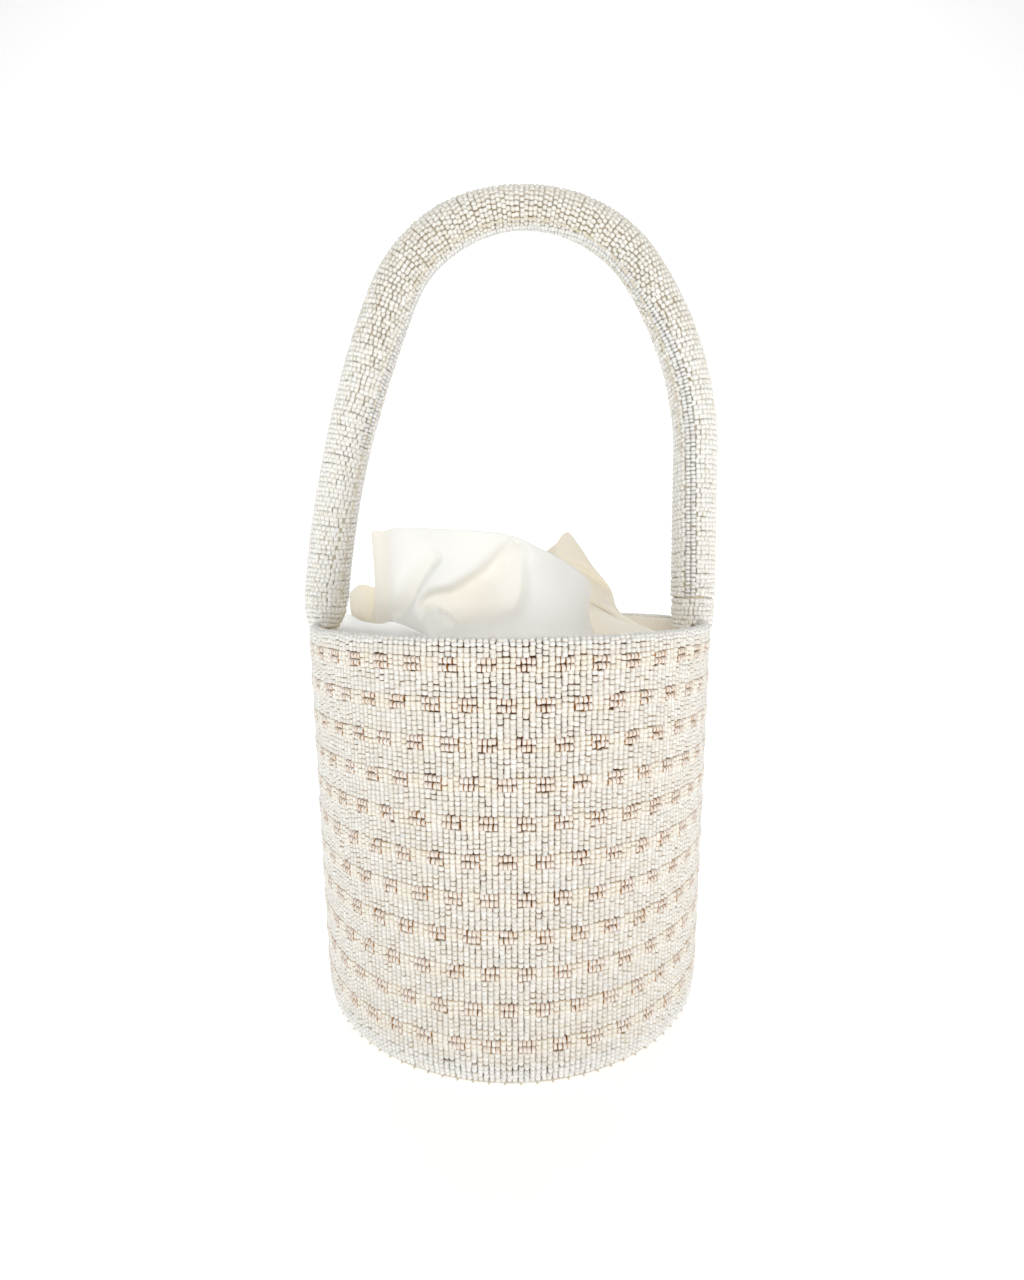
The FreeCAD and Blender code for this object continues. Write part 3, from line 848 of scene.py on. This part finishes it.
CLOTHS = {
    # the satin's last colour is a deeper cream, laid as painted shade on the pouch's shaded folds and
    # creases
    "satin": cloth_material(
        "satin", (248, 247, 244), (243, 242, 236), (440, 80), 0.3, 0.44, 0.28, painted_shade=(252, 242, 218)
    ),
    "lining": cloth_material("lining_satin", (255, 250, 239), (252, 245, 232), (430, 130), 0.3, 0.42, 0.3),
    "fold": cloth_material("fold_cloth", (252, 251, 248), (246, 245, 241), (40, 16), 0.35, 0.6, 0.2),
    "ground": cloth_material("ground_cloth", (124, 80, 38), (88, 55, 24), (450, 136), 0.5, 0.8, 0.1),
    "sleeve": cloth_material("sleeve_cloth", (240, 228, 202), (222, 206, 176), (42, 400), 0.5, 0.8, 0.1),
    "base": cloth_material("base_cloth", (228, 222, 210), (206, 197, 182), (143, 143), 0.6, 0.85, 0.2),
}


def through(points, count, closed=False, crowd=1.0):
    """A smooth run of that many points through the given ones; crowd above 1 puts more near the start."""
    points = np.asarray(points, float)
    last = len(points) if closed else len(points) - 1
    share = last * np.linspace(0, 1, count, endpoint=not closed) ** crowd
    start = np.minimum(share.astype(int), last - 1)
    ease = (share - start).reshape(-1, *[1] * (points.ndim - 1))
    if closed:
        before, first, second, after = (points[(start + i) % last] for i in (-1, 0, 1, 2))
    else:
        before, first, second, after = (points[np.clip(start + i, 0, last)] for i in (-1, 0, 1, 2))
    cubic = 3 * (first - second) + after - before
    square = 2 * before - 5 * first + 4 * second - after
    return first + 0.5 * ease * (second - before + ease * (square + ease * cubic))


def cloth_piece(name, grid, cloth, closed=True, thickness=CLOTH_THICKNESS):
    """A sheet of cloth over a grid of points, round the first axis and up the second."""
    rows, lines = grid.shape[:2]
    spans = rows if closed else rows - 1
    mesh = bpy.data.meshes.new(name)
    start = np.arange(spans)[:, None] * lines + np.arange(lines - 1)
    beside = (np.arange(spans)[:, None] + 1) % rows * lines + np.arange(lines - 1)
    faces = np.stack([start, beside, beside + 1, start + 1], axis=-1).reshape(-1, 4)
    mesh.from_pydata(grid.reshape(-1, 3).tolist(), [], faces.tolist())
    across, up = np.meshgrid(np.arange(spans), np.arange(lines - 1), indexing="ij")
    corners = np.stack([across, up, across + 1, up, across + 1, up + 1, across, up + 1], axis=-1)
    places = corners.reshape(-1, 2) / (spans, lines - 1)
    mesh.uv_layers.new(name=MAP_NAME).data.foreach_set("uv", places.ravel())
    mesh.materials.append(CLOTHS[cloth])
    mesh.shade_smooth()
    piece = add_object(name, mesh)
    solid = piece.modifiers.new("thickness", "SOLIDIFY")
    solid.thickness = thickness
    solid.offset = 0
    return piece


def dress(piece, body, node):
    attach(piece, body)
    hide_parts(node)


def turns_round(count):
    return np.linspace(0, 2 * math.pi, count, endpoint=False)


def lathe(turns, radii, heights):
    """A grid of points: radii may change with the turn as well as the height."""
    radii = np.broadcast_to(radii, (len(turns), len(heights)))
    across = np.cos(turns)[:, None] * radii
    back = np.sin(turns)[:, None] * radii
    return np.stack([across, back, np.broadcast_to(heights, radii.shape)], axis=-1)


# how far the ground cloth stops short of the floor and of the rim, and how far it is drawn in
GROUND_FOOT = 1.0 * MM
GROUND_TOP = 1.6 * MM
GROUND_DENT = 0.08 * MM
LINING_PUCKER = 0.22 * MM


def make_ground_cloth():
    """The cloth that the strings are sewn on, drawn in a little between them."""
    turns = turns_round(COLUMN_COUNT * 2)
    heights = np.linspace(GROUND_FOOT, RIM_HEIGHT - GROUND_TOP, 60)
    radii = wall_radius(heights, CLOTH_INSET)[None] - GROUND_DENT * (np.arange(len(turns)) % 2)[:, None]
    piece = cloth_piece("ground_cloth_tube", lathe(turns, radii, heights), "ground", thickness=0.2 * MM)
    dress(piece, "basket", "wall_ground_cloth")


def make_lining():
    """Satin against the card, with shallow puckers that fade below the rim."""
    low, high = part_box("wall_lining")
    turns = turns_round(360)
    heights = np.linspace(low.z, high.z, 80)
    share = (heights - low.z) / (high.z - low.z)
    pucker = np.sin(9 * turns)[:, None] * np.sin(7 * share)[None] + 0.6 * np.sin(23 * turns)[:, None]
    depth = LINING_PUCKER * share**2 * (1 - share**8)
    radii = wall_radius(heights, LINING_INSET)[None] - depth * (1 + pucker)
    piece = cloth_piece("satin_lining", lathe(turns, radii, heights), "lining")
    dress(piece, "basket", "wall_lining")


def make_disc(name, node, cloth, ripple):
    """A round of cloth over a base node, drawn up in slight ripples towards its edge."""
    low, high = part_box(node)
    radius, middle = (high.x - low.x) / 2, (low.z + high.z) / 2
    turns = turns_round(180)
    radii = np.linspace(0.3 * MM, radius, 40)
    grid = lathe(turns, radii, np.full(len(radii), middle))
    grid[..., 2] += ripple * (radii / radius) ** 3 * np.sin(37 * turns)[:, None]
    piece = cloth_piece(name, grid, cloth, thickness=(high.z - low.z) - 2 * ripple)
    dress(piece, "basket", node)


# how far below the feet the sleeve's last lines lie, in millimetres
SLEEVE_DROPS = (7.3, 7.0, 6.2, 4.8, 3.2, 1.6)


def make_sleeve():
    """The cloth tube under the handle's beads, which narrows to a slit below each foot."""
    turns = turns_round(36)
    drops = np.array(SLEEVE_DROPS) * MM
    inside = np.linspace(0, LINE.length, 180)
    alongs = (*-drops, *inside, *LINE.length + drops[::-1])
    lines = [round_tube(along, turns, SLEEVE_RADIUS)[0] for along in alongs]
    piece = cloth_piece("handle_sleeve_cloth", np.stack(lines, axis=1), "sleeve", thickness=0.3 * MM)
    dress(piece, "handle", "handle_sleeve")


# ---- the satin pouch ----

POUCH_FOOT = 104 * MM
POUCH_BAND = 112 * MM
POUCH_THROAT = 130 * MM
THROAT_RADIUS = 57.5 * MM
POUCH_INSET = 5.6 * MM
# the pouch's fine pleats: how many waves there are round it, how deep they are, and where they lie and
# how far they spread from its foot, at 0, to its mouth, at 1
PLEATS = (31, 47)
PLEAT_DEPTH = 0.4 * MM
PLEAT_PLACE = 0.33
PLEAT_SPREAD = 0.13
# the pouch's points round it and up it, and how they crowd towards its mouth
POUCH_ROUND = 600
POUCH_UP = 78
POUCH_CROWD = 1.2
# where the front fold's creases fade in, and where those of the fold behind it lie: between two places
# back, to the right of a third; then how much the painted shade deepens the cream for each millimetre of a
# crease
FRONT_FACE = -37 * MM
FRONT_FADE = 5 * MM
BACK_FACES = (-26 * MM, 14 * MM, 12 * MM)
BACK_FADE = 6 * MM
CREASE_SHADE = 0.06
# one row for each fold of the pouch's mouth, in millimetres: its turn at the throat in degrees from
# the front towards the right, then its point halfway up and its point at the top, each as across,
# back and above the rim, and how deep its painted shade is, as a deeper cream on folds turned from the
# light
POUCH_FOLDS = (
    (-57, (-46, -32, 6), (-42, -31, 14), 1.0),
    (-52, (-44, -38, 12), (-44.5, -40, 30), 0.5),
    (-47, (-39.5, -43.5, 12), (-39.8, -44.5, 31.2), 0.5),
    (-41, (-35.5, -48, 12), (-35, -48.5, 31.9), 0.1),
    (-33, (-29, -50.5, 13), (-28.5, -50, 31.8), 0.0),
    (-22, (-19, -53.5, 11), (-18.5, -51.5, 31.2), 0.0),
    (-12, (-10, -54, 9), (-8.5, -52, 30.5), 0.05),
    (-2, (-1, -54, 7), (1, -51, 29.2), 0.05),
    (7, (8, -53.5, 5), (9, -48, 25.6), 0.0),
    (15, (16, -51.5, 4.5), (17.5, -43.5, 21.5), 0.0),
    (22, (22.5, -46.5, 5), (24, -38.5, 17), 0.05),
    (27, (26, -38, 6), (27.6, -33.5, 12), 0.3),
    (32, (23.5, -30, 5), (24.5, -27, 9.5), 0.9),
    (37, (17, -22, 7), (15, -17, 17), 0.9),
    (42, (15, -16, 10), (13.5, -11, 25), 0.8),
    (48, (19, -10, 12), (17.5, -3, 29), 0.7),
    (54, (23.5, -8, 12), (22.1, 0, 33.6), 0.7),
    (60, (29, -9, 9), (26.5, 1, 29), 0.7),
    (66, (34.5, -9, 7), (32.4, 2, 20.5), 0.75),
    (73, (39.5, -8, 3), (38.8, 0, 12), 0.7),
    (80, (44, -7, -1), (41.8, -2, 3.5), 0.6),
    (88, (50, -4, -6), (50.5, -1, -3), 0.7),
    (98, (53.5, 8, -6), (53, 8, -3), 0.8),
    (112, (51, 22, -5), (50, 21, -2), 0.8),
    (126, (45, 32, -2), (43, 30, 2), 0.7),
    (142, (34, 43, 5), (32, 41, 11), 0.6),
    (160, (19, 50, 9), (18, 47, 17), 0.5),
    (182, (-2, 52, 8), (-3, 48, 14), 0.5),
    (205, (-23, 46, 9), (-22, 44, 18), 0.5),
    (228, (-40, 35, 8), (-38, 34, 14), 0.6),
    (250, (-52, 16, 4), (-51, 15, 8), 0.7),
    (270, (-57, 1, 2), (-56.5, 0, 6), 0.8),
    (284, (-57, -12, 2), (-57, -13, 6), 0.9),
    (293, (-56, -22, 4), (-56.5, -22, 10.5), 0.9),
    (299, (-51.5, -28.5, 6), (-51, -29, 14.3), 0.8),
)
# wide hollows in the front fold, in millimetres: across and above the rim, half length, half width,
# tilt in degrees and depth
HOLLOWS = ((-8, 8, 13, 6, 10, 2.2), (14, 14, 12, 5, 78, -1.2))
# sharper creases, each a line of points across and above the rim with its hollow on the left, then
# how wide its steep and its slow side are and how deep it goes: first the front fold's, then those
# of the peaked fold behind it
FRONT_CREASES = (
    (
        (
            (2, 29), (-3.5, 23), (-7.4, 19), (-13.6, 14.6),
            (-18.6, 12.1), (-24.2, 10.9), (-27, 8.2), (-26.5, 4),
        ),
        1.4, 8, 4.6,
    ),
    (((-35.5, 2.5), (-31, 9), (-27, 16), (-21, 23.5)), 0.9, 4.2, 3.6),
    (
        (
            (-24.5, -2), (-18.6, 1), (-13.6, 4.1), (-3.7, 5.3),
            (1.2, 7.2), (3.1, 12), (3.5, 18), (3.2, 27),
        ),
        2.2, 7, 2.4,
    ),
)
BACK_CREASES = (
    (((38.5, 9), (36.7, 12), (34, 15), (30.3, 18), (24.2, 21), (16, 22.5)), 0.9, 4.5, 2.8),
    (((46, -4.5), (42.8, -2.3), (36.8, 2.2), (30, 6.7), (24, 10)), 1.2, 5, 3.4),
)


def facing(turn):
    """The level direction so many degrees from the front towards the right."""
    turn = math.radians(turn)
    return np.array((math.sin(turn), -math.cos(turn), 0.0))


def crease_depth(grid, creases):
    """How far those creases push each point of the pouch back."""
    x, z = grid[..., 0] / MM, (grid[..., 2] - RIM_HEIGHT) / MM
    pushed = np.zeros(x.shape)
    for line, steep, slow, depth in creases:
        points = through(line, 40)
        ways = np.gradient(points, axis=0)
        across = x[..., None] - points[:, 0]
        above = z[..., None] - points[:, 1]
        apart = np.hypot(across, above)
        nearest = apart.argmin(axis=-1)
        picked = np.indices(x.shape)
        gap = apart[(*picked, nearest)]
        left = ways[nearest, 0] * above[(*picked, nearest)] > ways[nearest, 1] * across[(*picked, nearest)]
        ends = 1 - (2 * nearest / (len(points) - 1) - 1) ** 4
        pushed += depth * ends * np.exp(-((gap / np.where(left, slow, steep)) ** 2))
    return pushed


def hollow_depth(grid):
    """How far the wide hollows push each point of the pouch back."""
    pushed = np.zeros(grid.shape[:2])
    for across, above, length, width, tilt, depth in HOLLOWS:
        x = grid[..., 0] / MM - across
        z = (grid[..., 2] - RIM_HEIGHT) / MM - above
        cos, sin = math.cos(math.radians(tilt)), math.sin(math.radians(tilt))
        spread = ((x * cos + z * sin) / length) ** 2 + ((z * cos - x * sin) / width) ** 2
        pushed += depth * np.exp(-spread)
    return pushed


def pouch_grid():
    """The pouch from the band on the lining, in to its throat and up to its loose, folded mouth."""
    columns = []
    for turn, middle, top, tone in POUCH_FOLDS:
        out = facing(turn)
        column = [
            out * wall_radius(height, POUCH_INSET) + (0, 0, height) for height in (POUCH_FOOT, POUCH_BAND)
        ]
        column.append(out * THROAT_RADIUS + (0, 0, POUCH_THROAT))
        column += [np.array(point) * MM + (0, 0, RIM_HEIGHT) for point in (middle, top)]
        columns.append([(*point, tone) for point in column])
    grid = through(columns, POUCH_ROUND, closed=True)
    lines = through(grid.transpose(1, 0, 2)[::-1], POUCH_UP, crowd=POUCH_CROWD)
    grid = lines.transpose(1, 0, 2)[:, ::-1]
    tones = np.clip(grid[..., 3], 0, 1)
    grid = grid[..., :3].copy()
    share = np.linspace(0, 1, grid.shape[1])
    turns = turns_round(grid.shape[0])
    pleats = sum(np.sin(count * turns + count) for count in PLEATS)[:, None]
    outward = grid * (1, 1, 0)
    outward /= np.linalg.norm(outward, axis=-1, keepdims=True)
    depth = PLEAT_DEPTH * np.exp(-(((share - PLEAT_PLACE) / PLEAT_SPREAD) ** 2))
    grid += outward * (pleats * depth)[..., None]
    front = np.clip((FRONT_FACE - grid[..., 1]) / FRONT_FADE, 0, 1)
    pushed = crease_depth(grid, FRONT_CREASES) + hollow_depth(grid)
    start, end, side = BACK_FACES
    behind = np.clip((grid[..., 1] - start) / BACK_FADE, 0, 1)
    behind *= np.clip((end - grid[..., 1]) / BACK_FADE, 0, 1)
    behind *= grid[..., 0] > side
    grid[..., 1] += (front * pushed + behind * crease_depth(grid, BACK_CREASES)) * MM
    # the tones are painted shade: each fold's own, and more in the creases
    return grid, np.clip(tones + CREASE_SHADE * front * np.clip(pushed, 0, 6), 0, 1)


def make_pouch():
    grid, tones = pouch_grid()
    piece = cloth_piece("satin_pouch", grid, "satin")
    # the painted shade of the pouch's folds and creases, kept as the point attribute tone
    tone = piece.data.attributes.new("tone", "FLOAT", "POINT")
    tone.data.foreach_set("value", tones.ravel())
    dress(piece, "basket", "pouch_collar")


# the fold of lining, in degrees and millimetres: its turns from the front, each with its top's height
# above the rim; then how far out its four lines lie, the lower two's heights, and the third's drop below
# the top
LINING_FOLDS = (
    (-58, -5), (-54, -1.6), (-51, 0.8), (-47, 5.1), (-44, 4.7), (-41, 3.6), (-37, 3), (-33, 2.8),
    (-30, 3.6), (-27, 3), (-23, 1.3), (-19, -0.8), (-14, -3),
)
LINING_FOLD_RADII = (68.6, 68.9, 69.4, 70.4)
LINING_FOLD_LOW = (-14, -8)
LINING_FOLD_BEND = 3


def make_front_fold():
    """A thin fold of the lining that has worked up over the rim at the front left."""
    columns = []
    for turn, rise in LINING_FOLDS:
        out = facing(turn)
        heights = (*LINING_FOLD_LOW, rise - LINING_FOLD_BEND, rise)
        columns.append([
            out * radius * MM + (0, 0, RIM_HEIGHT + height * MM)
            for radius, height in zip(LINING_FOLD_RADII, heights)
        ])
    grid = through(columns, 96)
    grid = through(grid.transpose(1, 0, 2), 24).transpose(1, 0, 2)
    piece = cloth_piece("lining_fold", grid, "fold", closed=False, thickness=0.25 * MM)
    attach(piece, "basket")


make_ground_cloth()
make_lining()
make_disc("satin_floor", "base_lining", "lining", 0.05 * MM)
make_disc("base_cloth_round", "base_cover", "base", 0.04 * MM)
make_sleeve()
make_pouch()
make_front_fold()


# ---- the CAD's own shapes ----


def paint(material, *nodes):
    for node in nodes:
        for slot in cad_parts[node].material_slots:
            slot.material = material


CARD = plain_material("card", (214, 203, 184), (188, 174, 152), 420, 0.85, 0.00012)
WADDING = plain_material("wadding", (240, 238, 232), (222, 219, 211), 260, 0.95, 0.0004)
TAB = plain_material("tab_tape", (236, 228, 210), (214, 203, 182), 1500, 0.8, 0.0001)
THREAD = plain_material("thread", (242, 234, 214), (216, 203, 176), 2600, 0.6, 0.00008)
paint(CARD, "wall_stiffener", "base_board")
paint(WADDING, "handle_core")
paint(TAB, "left_handle_tab", "right_handle_tab")
paint(THREAD, "left_tab_stitches", "right_tab_stitches", "rim_slip_stitches", "pouch_gather_stitches")
paint(THREAD, "base_seam_stitches", "handle_seam_stitches")


# ---- the studio ----

WHITE = (1.0, 1.0, 1.0)
# each light's name, place, aim, width in metres, power in watts, colour and spread in degrees
LIGHTS = (
    ("key", (0.0, -0.85, 0.3), (0, 0, 0.15), 0.22, 2.4, WHITE, 180),
    ("side", (-0.8, -0.25, 0.35), (0, 0, 0.12), 0.4, 0.7, (0.88, 0.95, 1.0), 180),
    ("fill", (0.6, -0.5, 0.32), (0, 0, 0.15), 0.3, 0.7, (1.0, 0.97, 0.93), 180),
    ("backdrop", (0, 0.7, 1.7), (0, 1.7, 0.4), 1.0, 12.0, WHITE, 150),
)
SURROUND_STRENGTH = 0.28
SWEEP_GLOW = 0.4
# the sweep: half its width, where its bend starts, the bend's radius, its top and the bend's steps
SWEEP_HALF = 10.0
SWEEP_BACK = 1.2
SWEEP_BEND = 0.6
SWEEP_TOP = 3.0
SWEEP_STEPS = 16


def add_light(name, place, aim, width, power, colour, spread):
    data = bpy.data.lights.new(name, "AREA")
    data.size = width
    data.spread = math.radians(spread)
    data.energy = power
    data.color = colour
    light = add_object(name, data)
    light.location = place
    light.rotation_euler = (Vector(aim) - Vector(place)).to_track_quat("-Z", "Y").to_euler()


def make_surround():
    """An even white surround."""
    world = bpy.data.worlds.new("surround")
    world.use_nodes = True
    background = world.node_tree.nodes["Background"]
    background.inputs["Color"].default_value = (*WHITE, 1.0)
    background.inputs["Strength"].default_value = SURROUND_STRENGTH
    bpy.context.scene.world = world


def make_sweep():
    """A pale floor that bends up behind into a backdrop."""
    graph = Graph("sweep")
    grain = graph.noise(40, 3.0)
    tone = graph.ramp(grain, ((0.0, (251, 251, 251)), (1.0, (254, 254, 254))))
    graph.link(tone, graph.shader.inputs["Base Color"])
    graph.set({"Roughness": 0.8, "Emission Color": (*WHITE, 1.0), "Emission Strength": SWEEP_GLOW})
    turns = [step / SWEEP_STEPS * math.pi / 2 for step in range(SWEEP_STEPS + 1)]
    bend = [(SWEEP_BACK + SWEEP_BEND * math.sin(turn), SWEEP_BEND * (1 - math.cos(turn))) for turn in turns]
    profile = [(-SWEEP_HALF, 0.0), *bend, (SWEEP_BACK + SWEEP_BEND, SWEEP_TOP)]
    points = [(x, y, z) for y, z in profile for x in (-SWEEP_HALF, SWEEP_HALF)]
    faces = [(2 * i, 2 * i + 1, 2 * i + 3, 2 * i + 2) for i in range(len(profile) - 1)]
    mesh = bpy.data.meshes.new("sweep")
    mesh.from_pydata(points, [], faces)
    mesh.materials.append(graph.material)
    mesh.shade_smooth()
    add_object("sweep", mesh)


bpy.context.scene.view_settings.view_transform = "Standard"
make_surround()
for light in LIGHTS:
    add_light(*light)
make_sweep()
